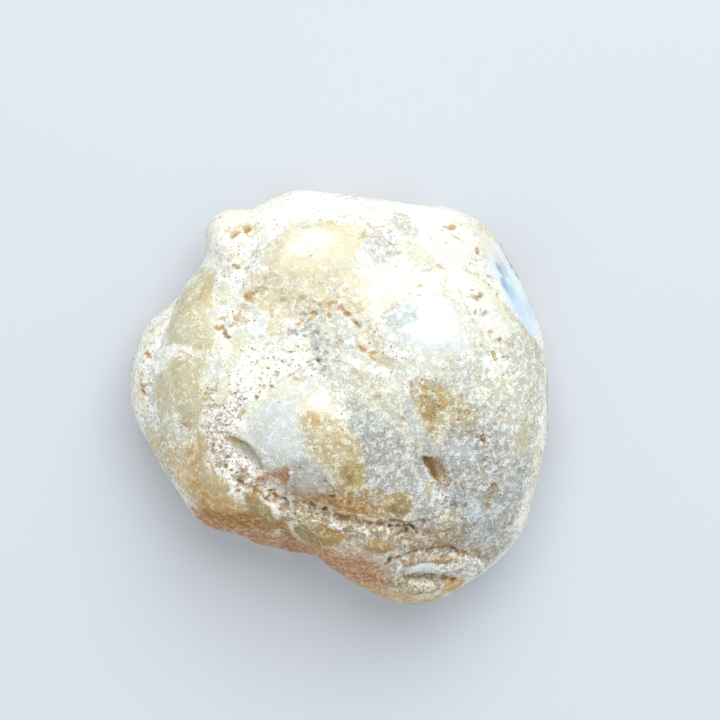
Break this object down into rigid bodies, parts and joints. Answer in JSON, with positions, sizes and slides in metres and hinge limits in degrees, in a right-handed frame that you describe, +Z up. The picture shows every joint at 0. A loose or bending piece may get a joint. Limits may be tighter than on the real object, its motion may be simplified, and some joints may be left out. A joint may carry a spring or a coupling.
{
  "type": "half nodule of dendritic opal",
  "caption": "Hand-sized half nodule of opal, a lumpy natural rind on top, a flat polished face with mossy dendrites below, and a small polished window at one edge.",
  "frame": {"origin": "middle of the bounding box in plan, on the plane of the polished face that the stone rests on", "axes": "+Z up out of the rind; seen from above, +X to the right and +Y up the page of the picture, with the polished window towards +X+Y"},
  "size_m": [0.066, 0.065, 0.0312],
  "materials": {
    "opal_rind": "chalky, pitted natural rind in cream, olive and grey, with smooth milky opal swellings; glossy milky opal on the two polished faces"
  },
  "bodies": {
    "root": {"opal_nodule": "opal_rind"}
  },
  "joints": []
}
